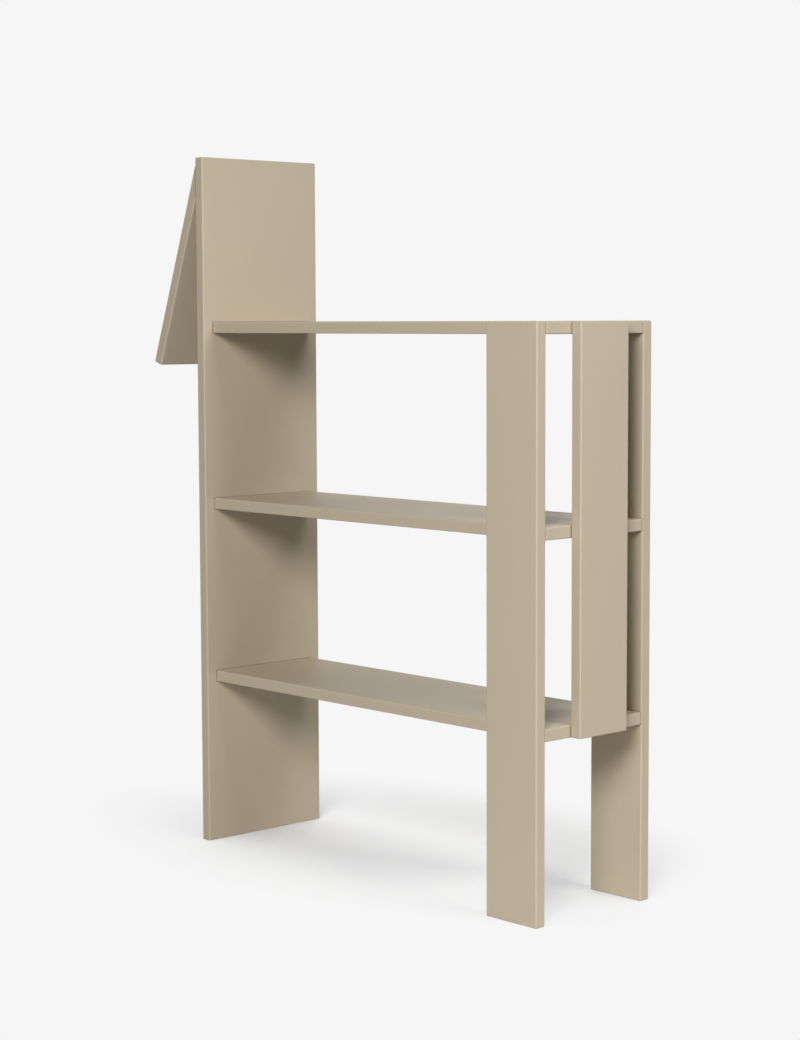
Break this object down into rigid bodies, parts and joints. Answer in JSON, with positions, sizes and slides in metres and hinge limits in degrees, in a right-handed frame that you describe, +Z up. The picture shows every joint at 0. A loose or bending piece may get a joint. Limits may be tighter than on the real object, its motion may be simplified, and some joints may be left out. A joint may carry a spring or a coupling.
{
  "type": "horse-shaped bookshelf",
  "caption": "Child's bookshelf of flat lacquered boards in the outline of a horse, with open shelves for a back, a sloping head board, narrow hind legs and a tail board.",
  "frame": {"origin": "on the floor, in the middle of the whole outline's box", "axes": "+X from the head towards the tail, +Z up, so the horse's right side is +Y and its left side is -Y"},
  "size_m": [0.8834, 0.236, 1.1],
  "materials": {
    "lacquered_board": "satin beige lacquer on fibreboard",
    "zinc_cam": "die-cast zinc, dull",
    "plated_bolt": "bright zinc-plated steel",
    "cap_plastic": "matte beige plastic to match the lacquer",
    "dowel_wood": "raw beech"
  },
  "bodies": {
    "root": {"neck_panel": "lacquered_board", "head_board": "lacquered_board", "top_shelf": "lacquered_board", "middle_shelf": "lacquered_board", "bottom_shelf": "lacquered_board", "left_hind_leg": "lacquered_board", "right_hind_leg": "lacquered_board", "tail_board": "lacquered_board", "top_shelf_cam_discs": "zinc_cam", "top_shelf_cam_bolts": "plated_bolt", "top_shelf_cover_caps": "cap_plastic", "top_shelf_dowels": "dowel_wood", "middle_shelf_cam_discs": "zinc_cam", "middle_shelf_cam_bolts": "plated_bolt", "middle_shelf_cover_caps": "cap_plastic", "middle_shelf_dowels": "dowel_wood", "bottom_shelf_cam_discs": "zinc_cam", "bottom_shelf_cam_bolts": "plated_bolt", "bottom_shelf_cover_caps": "cap_plastic", "bottom_shelf_dowels": "dowel_wood", "head_dowels": "dowel_wood"}
  },
  "joints": []
}
